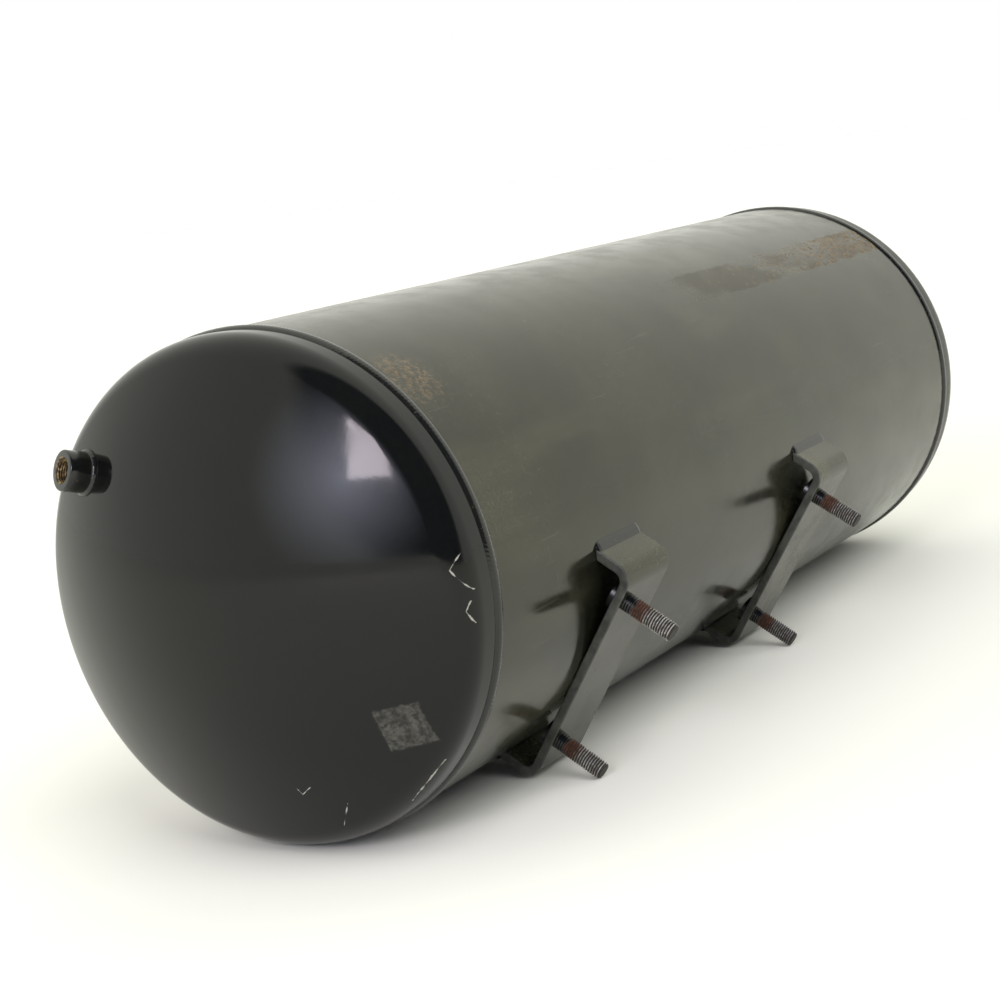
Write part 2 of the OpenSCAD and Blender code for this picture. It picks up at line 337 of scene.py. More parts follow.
    # Fine orange peel from the spray gun, over the slow waves that the press and rollers leave
    waves = grain(tree, place, WAVE_SIZE_MM, 1)
    bump = add(tree, "Bump", {"Height": waves, "Distance": WAVE_DEPTH, "Strength": 0.8})
    peel = grain(tree, place, PEEL_SIZE_MM, 1)
    bump = add(tree, "Bump", {"Height": peel, "Distance": PEEL_DEPTH, "Strength": 0.8,
                              "Normal": bump.outputs[0]})
    pits = add(tree, "Math", (scored, chip), operation="MAXIMUM").outputs[0]
    pits = add(tree, "Math", (pits, rusty), operation="MAXIMUM").outputs[0]
    bump = add(tree, "Bump", {"Height": pits, "Distance": PIT_DEPTH, "Strength": 0.6,
                              "Normal": bump.outputs[0]}, invert=True)
    tree.links.new(bump.outputs[0], shader.inputs["Normal"])
    return material


def around_the_shell(tree, place):
    """Distance along the tank and around it from the stud side's level line, in metres."""
    axes = add(tree, "SeparateXYZ", (place,)).outputs
    rise = add(tree, "Math", (axes["Z"], AXIS_Z), operation="SUBTRACT").outputs[0]
    reach = add(tree, "Math", (AXIS_Y, axes["Y"]), operation="SUBTRACT").outputs[0]
    turn = add(tree, "Math", (rise, reach), operation="ARCTAN2").outputs[0]
    return axes["X"], add(tree, "Math", (turn, SHELL_RADIUS), operation="MULTIPLY").outputs[0]


def shell_marks(tree, place, colour, rusty, hair):
    """A dull band rubbed by an old strap, speckled with rust towards the rear, and one patch."""
    along, around = around_the_shell(tree, place)
    band_middle = math.radians(BAND_ANGLE_DEG) * SHELL_RADIUS
    off = add(tree, "Math", (around, band_middle), operation="SUBTRACT").outputs[0]
    off = add(tree, "Math", (off,), operation="ABSOLUTE").outputs[0]
    ragged = add(tree, "Math", (grain(tree, place, 12, 4), 7 * MM, off),
                 operation="MULTIPLY_ADD").outputs[0]
    across = add(tree, "MapRange", (ragged, BAND_HALF_WIDTH + 2 * MM, BAND_HALF_WIDTH + 5 * MM,
                                    1.0, 0.0), interpolation_type="SMOOTHSTEP").outputs[0]
    started = add(tree, "MapRange", (along, BAND_START_X, BAND_START_X + BAND_FADE),
                  interpolation_type="SMOOTHSTEP").outputs[0]
    band = add(tree, "Math", (across, started), operation="MULTIPLY").outputs[0]
    scuffed = add(tree, "MapRange", (grain(tree, place, 30, 4, (0.35, 1, 1)), 0.3, 0.6, 0.15,
                                     0.5), interpolation_type="SMOOTHSTEP").outputs[0]
    rubbed = add(tree, "Math", (band, scuffed), operation="MULTIPLY").outputs[0]
    colour = add(tree, "Mix", {0: rubbed, 6: colour, 7: linear(SCUFF)}, data_type="RGBA").outputs[2]

    # The rust spots in the band grow larger and closer towards the rear
    towards_rear = add(tree, "MapRange", (along, 0.0, SHELL_END),
                       interpolation_type="SMOOTHSTEP").outputs[0]
    level = add(tree, "Math", (towards_rear, -0.12, 0.6), operation="MULTIPLY_ADD").outputs[0]
    speckle = grain(tree, place, 5, 6, roughness=0.75)
    spots = add(tree, "Math", (speckle, level), operation="SUBTRACT").outputs[0]
    spots = add(tree, "MapRange", (spots, -0.02, 0.06), interpolation_type="SMOOTHSTEP").outputs[0]
    for share in (band, 0.6):
        spots = add(tree, "Math", (spots, share), operation="MULTIPLY").outputs[0]

    patch_middle = math.radians(PATCH_ANGLE_DEG) * SHELL_RADIUS
    off_along = add(tree, "Math", (along, PATCH_X), operation="SUBTRACT").outputs[0]
    off_around = add(tree, "Math", (around, patch_middle), operation="SUBTRACT").outputs[0]
    offset = add(tree, "CombineXYZ", (off_along, off_around)).outputs[0]
    far = add(tree, "VectorMath", (offset,), operation="LENGTH").outputs["Value"]
    patch = add(tree, "MapRange", (far, 0.1 * PATCH_SIZE, PATCH_SIZE, 1.0, 0.0),
                interpolation_type="SMOOTHSTEP").outputs[0]
    broken = add(tree, "MapRange", (speckle, 0.42, 0.62), interpolation_type="SMOOTHSTEP").outputs[0]
    for share in (broken, 0.55):
        patch = add(tree, "Math", (patch, share), operation="MULTIPLY").outputs[0]
    for spot in (spots, patch):
        rusty = add(tree, "Math", (rusty, spot), operation="MAXIMUM").outputs[0]

    streaks = add(tree, "MapRange", (grain(tree, place, 60, 5, (0.25, 1, 1)), 0.5, 0.7),
                  interpolation_type="SMOOTHSTEP").outputs[0]
    streaks = add(tree, "Math", (streaks, 0.06), operation="MULTIPLY").outputs[0]
    colour = add(tree, "Mix", {0: streaks, 6: colour, 7: linear(DUST)}, data_type="RGBA").outputs[2]
    dull = add(tree, "MapRange", (scuffed, 0.15, 0.5, 0.1, 0.5),
               interpolation_type="SMOOTHSTEP").outputs[0]
    dull = add(tree, "Math", (band, dull), operation="MULTIPLY").outputs[0]
    return colour, rusty, hair, dull


nodes["shell"].data.materials.clear()
nodes["shell"].data.materials.append(
    enamel("road_worn_black_enamel_on_rolled_steel", dust=0.085, rust_spots=0.15,
           marks=shell_marks, hairs=0.5, tint=PAINTED_REFLECTION_TINT))


# ---------------------------------------------------------------------------------------------
# Heads: 3 mm plate pressed to a shallow crown with a tight knuckle and a short straight skirt, the
# port hole then drilled near the crown's edge. Revolved here so that the paint reflects evenly.
WALL = 3 * MM
TOUCH = 0.05 * MM
CROWN_RADIUS = 279 * MM
KNUCKLE_RADIUS = 23.87 * MM
CROWN_STEPS = 28
KNUCKLE_STEPS = 12
HEAD_SIDES = 288
SHARP_ANGLE_DEG = 42
HEAD_BOSS_RADIUS = 12.5 * MM
BOSS_DEPTH = 5 * MM
BOSS_SIDES = 96
HOLE_RADIUS = HEAD_BOSS_RADIUS + TOUCH
DRILL_REACH = 4 * BOSS_DEPTH
HEAD_IOR = 1.36
GRIMY_TINT = "#b4b4a8"
# Scratches to the primer, as ends across and up from the head's middle, in millimetres
SCRATCHES = (((-147, 16), (-151, 24)), ((-147, 16), (-154, 3)), ((-153, -3), (-151, -8)),
             ((-151, -8), (-153, -16)), ((-33, -107), (-35, -111)), ((-35, -111), (-42, -106)),
             ((-60, -118), (-50, -134)), ((-120, -95), (-108, -107)), ((-108, -107), (-94, -120)))
SCRATCH_CORE = 0.75 * MM
SCRATCH_HALF_WIDTH = 0.35 * MM
STICKER_MIDDLE = (-0.109, -0.070)
STICKER_HALF = 0.0135
STICKER_EDGE = 1.5 * MM
STICKER_TURN_DEG = 8

out_of_studs = Vector(mounts["front_upper_stud_thread"]["axis"])
up_the_strip = Vector((0, out_of_studs.z, -out_of_studs.y))


def in_row(along, out, up):
    """Points in the row frame from stations along the tank, out along the studs and up the strip."""
    along, out, up = np.broadcast_arrays(along, out, up)
    y = AXIS_Y + out * out_of_studs.y + up * up_the_strip.y
    z = AXIS_Z + out * out_of_studs.z + up * up_the_strip.z
    return np.stack([along, y, z], axis=-1)


def skin(name, rings, wrap=True, capped=False, finishes=None):
    """A closed mesh over rings of points. wrap joins the last ring to the first and capped closes
    both end rings. Rings that all start at one point on an axis end on that axis too."""
    rings = np.asarray(rings)
    count, size = rings.shape[:2]
    starts_on_axis = np.allclose(rings[:, 0], rings[:1, 0]) and not capped
    steps = size - 1 if starts_on_axis else size
    faces, marks = [], []
    for i in range(count if wrap else count - 1):
        here, there = i * size, (i + 1) % count * size
        for j in range(steps):
            k = (j + 1) % size
            faces.append((here + j, here + k, there + k, there + j))
            marks.append(finishes[j] if finishes else 0)
    if capped:
        faces.append(tuple(range(size)))
        faces.append(tuple((count - 1) * size + j for j in reversed(range(size))))
        marks += [0, 0]
    piece = mesh_piece(name, rings.reshape(-1, 3).tolist(), faces)
    piece.data.polygons.foreach_set("material_index", marks)
    shape = bmesh.new()
    shape.from_mesh(piece.data)
    bmesh.ops.remove_doubles(shape, verts=shape.verts, dist=0.0001 * MM)
    bmesh.ops.recalc_face_normals(shape, faces=shape.faces)
    shape.to_mesh(piece.data)
    shape.free()
    piece.data.set_sharp_from_angle(angle=math.radians(SHARP_ANGLE_DEG))
    return piece


def fit(piece, nodes_replaced, slot, *materials):
    """Paints a finished piece and puts it in the place of its CAD nodes."""
    for material in materials:
        piece.data.materials.append(material)
    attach(piece, "root")
    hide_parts(*nodes_replaced)


def placed(mount, depth):
    """The matrix whose +Z runs out of a mount, from the surface that it stands on."""
    out = Vector(mount["axis"])
    surface = Vector(mount["pos_m"]) - out * (mount["dims"]["length_mm"] * MM / 2 - depth)
    return Matrix.Translation(surface) @ out.to_track_quat("Z", "Y").to_matrix().to_4x4()


def turned(name, radii, heights, angles, place, finishes=None):
    """Revolves radii and heights, one row for each angle, round +Z of a placing matrix."""
    radii, heights, angles = np.broadcast_arrays(radii, heights, angles)
    local = np.stack([radii * np.cos(angles), radii * np.sin(angles), heights], axis=-1)
    matrix = np.array(place)
    return skin(name, local @ matrix[:3, :3].T + matrix[:3, 3], finishes=finishes)


def dish_outline(inset, tangent):
    """Stations and radii of a dish from its middle to its tangent line, inside the outer face."""
    rise = KNUCKLE_RADIUS - CROWN_RADIUS
    reach = SHELL_RADIUS - KNUCKLE_RADIUS
    meet = math.asin(reach / -rise)
    crown = np.linspace(0, meet, CROWN_STEPS)
    knuckle = np.linspace(meet, math.pi / 2, KNUCKLE_STEPS)[1:]
    back = math.sqrt(rise ** 2 - reach ** 2)
    stations = np.concatenate([tangent - back + (CROWN_RADIUS - inset) * np.cos(crown),
                               tangent + (KNUCKLE_RADIUS - inset) * np.cos(knuckle)])
    radii = np.concatenate([(CROWN_RADIUS - inset) * np.sin(crown),
                            reach + (KNUCKLE_RADIUS - inset) * np.sin(knuckle)])
    return stations, radii


def drilled(piece, mount):
    """Cuts the hole for a boss through a piece."""
    outline = np.array([(0, -DRILL_REACH), (HOLE_RADIUS, -DRILL_REACH),
                        (HOLE_RADIUS, DRILL_REACH), (0, DRILL_REACH)])
    around = np.linspace(0, 2 * np.pi, BOSS_SIDES, endpoint=False)[:, None]
    drill = turned("drill", outline[:, 0], outline[:, 1], around, placed(mount, BOSS_DEPTH))
    cut = piece.modifiers.new("hole", "BOOLEAN")
    cut.object = drill
    cut.solver = "EXACT"
    evaluated = piece.evaluated_get(bpy.context.evaluated_depsgraph_get())
    piece.data = bpy.data.meshes.new_from_object(evaluated)
    piece.modifiers.clear()
    piece.data.set_sharp_from_angle(angle=math.radians(SHARP_ANGLE_DEG))
    bpy.data.objects.remove(drill)


def head_marks(tree, place, colour, rusty, hair):
    """A few deep scratches near the rim, and the ghost of a peeled square sticker."""
    axes = add(tree, "SeparateXYZ", (place,)).outputs
    flat = add(tree, "CombineXYZ", (axes["Y"], axes["Z"])).outputs[0]
    wander = grain(tree, place, 5, 3)
    scored = 0.0
    for start, end in SCRATCHES:
        first = Vector((AXIS_Y + start[0] * MM, AXIS_Z + start[1] * MM, 0))
        last = Vector((AXIS_Y + end[0] * MM, AXIS_Z + end[1] * MM, 0))
        step = last - first
        offset = add(tree, "VectorMath", (flat, first), operation="SUBTRACT").outputs[0]
        share = add(tree, "VectorMath", (offset, step / step.length_squared),
                    operation="DOT_PRODUCT").outputs["Value"]
        share = add(tree, "Math", (share, 1.0), operation="MULTIPLY", use_clamp=True).outputs[0]
        nearest = add(tree, "VectorMath", {0: step, "Scale": share},
                      operation="SCALE").outputs[0]
        gap = add(tree, "VectorMath", (offset, nearest), operation="DISTANCE").outputs["Value"]
        gap = add(tree, "Math", (wander, 1.6 * MM, gap), operation="MULTIPLY_ADD").outputs[0]
        line = add(tree, "MapRange", (gap, SCRATCH_CORE, SCRATCH_CORE + SCRATCH_HALF_WIDTH, 1.0,
                                      0.0), interpolation_type="SMOOTHSTEP").outputs[0]
        scored = add(tree, "Math", (scored, line), operation="MAXIMUM").outputs[0]
    pale = add(tree, "Math", (scored, 0.6), operation="MULTIPLY").outputs[0]
    colour = add(tree, "Mix", {0: pale, 6: colour, 7: linear(PRIMER)}, data_type="RGBA").outputs[2]

    # The glue that the sticker left is torn and dull
    middle = Vector((AXIS_Y + STICKER_MIDDLE[0], AXIS_Z + STICKER_MIDDLE[1], 0))
    offset = add(tree, "VectorMath", (flat, middle), operation="SUBTRACT").outputs[0]
    turned_offset = add(tree, "VectorRotate", {"Vector": offset,
                                               "Angle": math.radians(STICKER_TURN_DEG)},
                        rotation_type="Z_AXIS").outputs[0]
    sides = add(tree, "VectorMath", (turned_offset,), operation="ABSOLUTE").outputs[0]
    sides = add(tree, "SeparateXYZ", (sides,)).outputs
    edge = add(tree, "Math", (sides["X"], sides["Y"]), operation="MAXIMUM").outputs[0]
    edge = add(tree, "Math", (wander, 3 * MM, edge), operation="MULTIPLY_ADD").outputs[0]
    glue = add(tree, "MapRange", (edge, STICKER_HALF, STICKER_HALF + STICKER_EDGE, 1.0, 0.0),
               interpolation_type="SMOOTHSTEP").outputs[0]
    torn = add(tree, "MapRange", (grain(tree, place, 4, 5, roughness=0.7), 0.35, 0.7, 0.03, 0.13),
               interpolation_type="SMOOTHSTEP").outputs[0]
    pale = add(tree, "Math", (glue, torn), operation="MULTIPLY").outputs[0]
    colour = add(tree, "Mix", {0: pale, 6: colour, 7: linear(PRIMER)}, data_type="RGBA").outputs[2]
    dull = add(tree, "Math", (glue, 0.6), operation="MULTIPLY").outputs[0]
    return colour, rusty, scored, dull


head_turn = np.linspace(0, 2 * np.pi, HEAD_SIDES, endpoint=False)[:, None]
for end, side, finish in (
        ("front", -1, enamel("scratched_black_enamel_on_front_head", dust=0.008,
                             gloss=(0.05, 0.12), ior=HEAD_IOR, marks=head_marks,
                             chip_level=0.86, hairs=0.0)),
        ("rear", 1, enamel("grimy_black_enamel_on_rear_head", dust=0.02, gloss=(0.2, 0.32),
                           ior=HEAD_IOR, hairs=0.0, tint=GRIMY_TINT))):
    low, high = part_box(end + "_head")
    skirt_end = low.x if side > 0 else -high.x
    tangent = (high.x if side > 0 else -low.x) - CROWN_RADIUS + math.sqrt(
        (CROWN_RADIUS - KNUCKLE_RADIUS) ** 2 - (SHELL_RADIUS - KNUCKLE_RADIUS) ** 2)
    outer_x, outer_r = dish_outline(0, tangent)
    inner_x, inner_r = dish_outline(WALL, tangent)
    ring_x = np.concatenate([outer_x, [skirt_end, skirt_end], inner_x[::-1]])
    ring_r = np.concatenate([outer_r, [SHELL_RADIUS, SHELL_RADIUS - WALL], inner_r[::-1]])
    dish = skin(end + "_pressed_head", in_row(side * ring_x, ring_r * np.cos(head_turn),
                                              ring_r * np.sin(head_turn)))
    drilled(dish, mounts[end + "_port"])
    fit(dish, [end + "_head"], "black_paint", finish)


# ---------------------------------------------------------------------------------------------
# Girth welds: one pass by machine round each joint between the shell and a head, painted over.
# The bead is convex, with the fine crescent ripples that a steadily turning tank leaves.
BEAD_HALF_WIDTH = 4.4 * MM
BEAD_HEIGHT = AXIS_Z - SHELL_RADIUS
BEAD_SIDES = 2400
ROOT_HALF_GAP = 0.95 * MM
RIPPLE_PITCH = 2.6 * MM
RIPPLE_HEIGHT = 0.05 * MM
RIPPLE_FROM = 0.3 * MM


def bead_arc(half_width, height, points):
    """Offsets across a convex bead and their heights, from one toe to the other."""
    across = np.linspace(-half_width, half_width, points)
    arc_radius = (half_width ** 2 + height ** 2) / (2 * height)
    return across, np.sqrt(arc_radius ** 2 - across ** 2) - arc_radius + height


def ripple(travel, across, half_width, seed):
    """Height of the crescent ripples, -1 to 1, with a slow unevenness in their pitch."""
    drift = 0.35 * np.sin(travel / (31 * MM) + seed) + 0.2 * np.sin(travel / (11 * MM) + 2 * seed)
    phase = travel / RIPPLE_PITCH + drift - 0.9 * (across / half_width) ** 2
    return np.cos(2 * np.pi * phase) * (1 - 0.7 * (across / half_width) ** 2)


weld_enamel = enamel("black_enamel_over_weld_beads", dust=0.03, rust_spots=0.12)
turn = np.linspace(0, 2 * np.pi, BEAD_SIDES, endpoint=False)[:, None]
for end, side in (("front", -1), ("rear", 1)):
    low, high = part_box(end + "_girth_weld")
    joint = (low.x + high.x) / 2
    across, height = bead_arc(BEAD_HALF_WIDTH, BEAD_HEIGHT - TOUCH, 15)
    height = height + TOUCH + RIPPLE_HEIGHT * (
        ripple(turn * SHELL_RADIUS, across, BEAD_HALF_WIDTH, side) - 1) * (height > RIPPLE_FROM)
    root_across = np.array([ROOT_HALF_GAP, ROOT_HALF_GAP, -ROOT_HALF_GAP, -ROOT_HALF_GAP])
    root_height = np.array([TOUCH, -WALL, -WALL, TOUCH]) * np.ones_like(turn)
    ring_x = joint + np.concatenate([across, root_across]) * np.ones_like(turn)
    ring_r = SHELL_RADIUS + np.concatenate([height, root_height], axis=1)
    bead = skin(end + "_girth_bead", in_row(ring_x, ring_r * np.cos(turn), ring_r * np.sin(turn)))
    fit(bead, [end + "_girth_weld"], "painted_weld", weld_enamel)


# ---------------------------------------------------------------------------------------------
# Seam: the lengthwise weld that closes the rolled shell, low on its back, painted with the rest.
SEAM_ANGLE = math.radians(225)
SEAM_HALF_WIDTH = 4 * MM
SEAM_HEIGHT = 1.2 * MM
SEAM_STEP = 0.55 * MM
SEAM_RIPPLE_FROM = 0.25 * MM

low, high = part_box("seam_weld")
stations = np.arange(low.x, high.x, SEAM_STEP)[:, None]
across, height = bead_arc(SEAM_HALF_WIDTH, SEAM_HEIGHT - TOUCH, 11)
height = height + TOUCH + RIPPLE_HEIGHT * (
    ripple(stations, across, SEAM_HALF_WIDTH, 3) - 1) * (height > SEAM_RIPPLE_FROM)
under = np.linspace(SEAM_HALF_WIDTH, -SEAM_HALF_WIDTH, 5)[1:-1]
ring_a = SEAM_ANGLE + np.concatenate([across, under]) / SHELL_RADIUS
ring_r = SHELL_RADIUS + np.concatenate(
    [height, np.full((len(stations), len(under)), TOUCH)], axis=1)
seam = skin("seam_bead", in_row(stations, ring_r * np.cos(ring_a), ring_r * np.sin(ring_a)),
            wrap=False, capped=True)
fit(seam, ["seam_weld"], "painted_weld", weld_enamel)


# ---------------------------------------------------------------------------------------------
# Bosses: turned steel, threaded M16 x 1.5 in the heads and M22 x 1.5 for the drain, set through
# the wall and welded. They are painted outside; the thread was plugged and is bare and rusting.
BOSS_RIM = 1 * MM
BOSS_MOUTH = 1.2 * MM
BOSS_THREAD_PITCH = 1.5 * MM
BOSS_THREAD_CUT = 0.81 * MM
BORE_STEP = 0.17 * MM
BORE_START = 0.15 * MM
# Name, the mount in its bore, radius and height above the surface
BOSSES = (("front_boss", "front_port", HEAD_BOSS_RADIUS, 15 * MM),
          ("rear_boss", "rear_port", HEAD_BOSS_RADIUS, 15 * MM),
          ("drain_boss", "drain_port", 16 * MM, 8 * MM))
BRASS_LIGHT = "#94805a"
BRASS_DARK = "#33271c"


def thread_depth(height, angle, pitch):
    """How deep a 60 degree thread is cut, 0 at the crest and 1 at the root. The crest's flat is an
    eighth of the pitch wide and the root's a quarter."""
    phase = np.abs((height / pitch - angle / (2 * np.pi)) % 1 - 0.5)
    return np.clip((phase - 1 / 16) / (5 / 16), 0, 1)


def tapped_steel():
    """Tapped bare steel, yellow plated once, now brassy and rusty in random patches."""
    material, tree, shader = new_material("yellow_plated_tapped_steel")
    place = add(tree, "TexCoord").outputs["Object"]
    worn = add(tree, "MapRange", (grain(tree, place, 3, 4), 0.4, 0.6),
               interpolation_type="SMOOTHSTEP").outputs[0]
    colour = add(tree, "Mix", {0: worn, 6: linear(BRASS_DARK), 7: linear(BRASS_LIGHT)},
                 data_type="RGBA").outputs[2]
    tree.links.new(colour, shader.inputs["Base Color"])
    for socket, dirty, clean in (("Roughness", 0.6, 0.3), ("Metallic", 0.4, 1.0)):
        amount = add(tree, "MapRange", (worn, 0, 1, dirty, clean),
                     interpolation_type="SMOOTHSTEP").outputs[0]
        tree.links.new(amount, shader.inputs[socket])
    return material


boss_enamel = enamel("black_enamel_on_turned_bosses", dust=0.03, rust_spots=0.2,
                     chip_level=0.9, hairs=0.0)
thread_finish = tapped_steel()
boss_turn = np.linspace(0, 2 * np.pi, BOSS_SIDES, endpoint=False)[:, None]
for boss, mount, outer, height in BOSSES:
    bore = mounts[mount]["dims"]["r_mm"] * MM
    rim = np.linspace(0, math.pi / 2, 5)
    outline = [(outer, -BOSS_DEPTH), (outer, -1 * MM), (outer, height / 2)]
    outline += [(outer - BOSS_RIM * (1 - math.cos(a)), height - BOSS_RIM * (1 - math.sin(a)))
                for a in rim]
    outline += [(bore + BOSS_MOUTH, height)]
    painted = len(outline) - 1
    bore_heights = np.arange(height - BORE_START, -BOSS_DEPTH, -BORE_STEP)
    outline += [(bore, h) for h in bore_heights] + [(bore, -BOSS_DEPTH)]
    radius, level = np.array(outline).T
    in_bore = (radius == bore)[None]
    cut = BOSS_THREAD_CUT * thread_depth(level, boss_turn, BOSS_THREAD_PITCH)
    mouth = bore + BOSS_MOUTH - (height - level)
    radii = np.where(in_bore, np.maximum(bore + cut, mouth), radius)
    finishes = [0] * painted + [1] * (len(outline) - painted - 1) + [0]
    piece = turned(boss + "_threaded", radii, level, boss_turn, placed(mounts[mount], BOSS_DEPTH),
                   finishes)
    fit(piece, [boss], "boss_paint", boss_enamel, thread_finish)


# ---------------------------------------------------------------------------------------------
# Boss welds: a small fillet bead laid by hand round the foot of each boss, and painted.
BOSS_WELD_LEG = 1.8 * MM
BOSS_WELD_SWELL = 0.12 * MM

for boss, mount, boss_radius, _ in BOSSES:
    outer = boss_radius + TOUCH
    lift = np.linspace(0, math.pi / 2, 9)
    radius = np.concatenate([outer + BOSS_WELD_LEG * np.sin(lift),
                             [outer + BOSS_WELD_LEG / 2, outer]])
    level = np.concatenate([BOSS_WELD_LEG * np.cos(lift), [0, 0]])
    fine = ripple(boss_turn * outer, lift / lift[-1] - 0.5, 1, 1)
    swell = np.concatenate([fine * BOSS_WELD_SWELL * np.sin(2 * lift), np.zeros((BOSS_SIDES, 2))],
                           axis=1)
    radii = radius + swell
    if boss == "drain_boss":
        fall = np.sqrt(SHELL_RADIUS ** 2 - (radii * np.cos(boss_turn)) ** 2) - SHELL_RADIUS
    else:
        fall = np.sqrt(CROWN_RADIUS ** 2 - radii ** 2) - CROWN_RADIUS
    weight = np.concatenate([np.sin(lift), [1, 1]])
    place = placed(mounts[mount], BOSS_DEPTH)
    bead = turned(boss + "_fillet", radii, level + swell + fall * weight + TOUCH, boss_turn, place)
    fit(bead, [boss + "_weld"], "painted_weld", weld_enamel)


# ---------------------------------------------------------------------------------------------
# Brackets: 6 mm flat strip, sheared, bent at both ends and cut to the shell, then painted. The
# paint has worn through to grey primer and steel along the sheared edges.
STRIP_HALF_LENGTH = 81.5 * MM
STRIP_THICKNESS = 6 * MM
BEND_RADIUS = 12 * MM
EDGE_ROUND = 0.9 * MM
WORN_EDGE = "#585a52"


def worn_edge_enamel():
    """Enamel rubbed thin on sheared edges, grey primer and dull steel showing between."""
    material, tree, shader = new_material("enamel_worn_to_grey_on_sheared_edges")
    place = add(tree, "TexCoord").outputs["Object"]
    worn = add(tree, "MapRange", (grain(tree, place, 6, 5, roughness=0.6), 0.3, 0.75, 0.3, 0.85),
               interpolation_type="SMOOTHSTEP").outputs[0]
    colour = add(tree, "Mix", {0: worn, 6: linear(BLACK), 7: linear(WORN_EDGE)},
                 data_type="RGBA").outputs[2]
    tree.links.new(colour, shader.inputs["Base Color"])
    for socket, painted, bare in (("Roughness", 0.25, 0.55), ("Metallic", 0.0, 0.3)):
        amount = add(tree, "MapRange", (worn, 0, 1, painted, bare),
                     interpolation_type="SMOOTHSTEP").outputs[0]
        tree.links.new(amount, shader.inputs[socket])
    return material


def strip_outline():
    """The bent strip's section, as (out, up) points round its outside and back inside."""
    face = SHELL_RADIUS + TOUCH + STRIP_THICKNESS
    radius = SHELL_RADIUS + TOUCH
    outline = []
    for inset in (0, STRIP_THICKNESS):
        half = STRIP_HALF_LENGTH - inset
        foot = math.sqrt(radius ** 2 - half ** 2)
        bend = [(face - BEND_RADIUS + (BEND_RADIUS - inset) * math.sin(a),
                 STRIP_HALF_LENGTH - BEND_RADIUS + (BEND_RADIUS - inset) * math.cos(a))
                for a in np.linspace(0, math.pi / 2, 13)]
        run = [(foot, half)] + bend
        run += [(v, -u) for v, u in reversed(run)]
        outline += run if inset == 0 else run[::-1]
    return np.array(outline)


# The bracket's gloss carries the same painted reflection tint as the shell
bracket_enamel = enamel("road_worn_black_enamel_on_bent_strip", dust=0.22, rust_spots=0.2,
                        tint=PAINTED_REFLECTION_TINT)
edge_enamel = worn_edge_enamel()
section = strip_outline()
for end in ("front", "rear"):
    low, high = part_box(end + "_bracket")
    stations = np.linspace(low.x, high.x, 2)[:, None]
    strip = skin(end + "_bent_strip", in_row(stations, section[:, 0], section[:, 1]),
                 wrap=False, capped=True)
    for face in strip.data.polygons:
        face.material_index = 1 if abs(face.normal.x) > 0.9 else 0
    rounding = strip.modifiers.new("sheared_edge", "BEVEL")
    rounding.width = EDGE_ROUND
    rounding.segments = 3
    rounding.limit_method = "ANGLE"
    rounding.angle_limit = math.radians(35)
    rounding.harden_normals = True
    rounding.material = 1
    fit(strip, [end + "_bracket"], "black_paint", bracket_enamel, edge_enamel)


# ---------------------------------------------------------------------------------------------
# Bracket welds: a fillet laid by hand across each end of a strip, from one edge to the other.
FILLET_LEG = 3.6 * MM
FILLET_BULGE = 0.5 * MM
FILLET_RIPPLE = 0.07 * MM
FILLET_FADE = 3 * MM
FILLET_END_SHARE = 0.6
FILLET_STATIONS = 120

for end in ("front", "rear"):
    low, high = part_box(end + "_bracket")
    stations = np.linspace(low.x, high.x, FILLET_STATIONS)[:, None]
    radius = SHELL_RADIUS + TOUCH
    foot_up = STRIP_HALF_LENGTH + TOUCH
    foot_out = math.sqrt(radius ** 2 - foot_up ** 2)
    toe_up = foot_up + FILLET_LEG
    toe_out = math.sqrt(radius ** 2 - toe_up ** 2)
    share = np.linspace(0, 1, 11)
    chord = np.hypot(FILLET_LEG + foot_out - toe_out, FILLET_LEG)
    lift_out, lift_up = FILLET_LEG / chord, (FILLET_LEG + foot_out - toe_out) / chord
    fine = ripple(stations, share - 0.5, 0.5, 5)
    fade = np.clip(np.minimum(stations - low.x, high.x - stations) / FILLET_FADE, 0, 1) ** 0.5
    leg = FILLET_LEG * (FILLET_END_SHARE + (1 - FILLET_END_SHARE) * fade)
    bulge = (FILLET_BULGE * fade + FILLET_RIPPLE * fine) * np.sin(np.pi * share)
    out = foot_out + leg * (1 - share) + (toe_out - foot_out) * share + bulge * lift_out
    up = foot_up + leg * share + bulge * lift_up
    out[:, -1] = np.sqrt(radius ** 2 - up[:, -1] ** 2)
    mid_up = (foot_up + up[:, -1:]) / 2
    out = np.concatenate([out, np.sqrt(radius ** 2 - mid_up ** 2),
                          np.full_like(stations, foot_out)], axis=1)
    up = np.concatenate([up, mid_up, np.full_like(stations, foot_up)], axis=1)
    for level, side in (("upper", 1), ("lower", -1)):
        bead = skin(end + "_" + level + "_fillet", in_row(stations, out, side * up),
                    wrap=False, capped=True)
        fit(bead, [end + "_bracket_" + level + "_weld"], "painted_weld", weld_enamel)


# ---------------------------------------------------------------------------------------------
# Studs: M12 steel with a flat head behind the strip. Paint covers the first few threads, then
# they are rusty where a nut sat, and rubbed bright, with bruised crests, towards the tip.
STUD_RADIUS = 6 * MM
STUD_PITCH = 1.75 * MM
STUD_CUT = 1.05 * MM
STUD_LENGTH = 35 * MM
STUD_CHAMFER = 1.2 * MM
SHANK_RADIUS = 6.3 * MM
STUD_HEAD_RADIUS = 10 * MM
STUD_HEAD = 3 * MM
STUD_SIDES = 72
STUD_STEP = 0.19 * MM
STUD_PAINT_END = (10 * MM, 12.5 * MM)
STUD_RUBBED_FROM = (18 * MM, 23 * MM)
BRUISE_DEPTH = 0.22
REAR_STUD_BRIGHTNESS = 0.6
STEEL_BRIGHT = "#c4c2be"
STEEL_DARK = "#77746c"
STUD_RUST = "#3a2418"
STUD_RUST_LIGHT = "#624232"
GRIME = "#28241f"


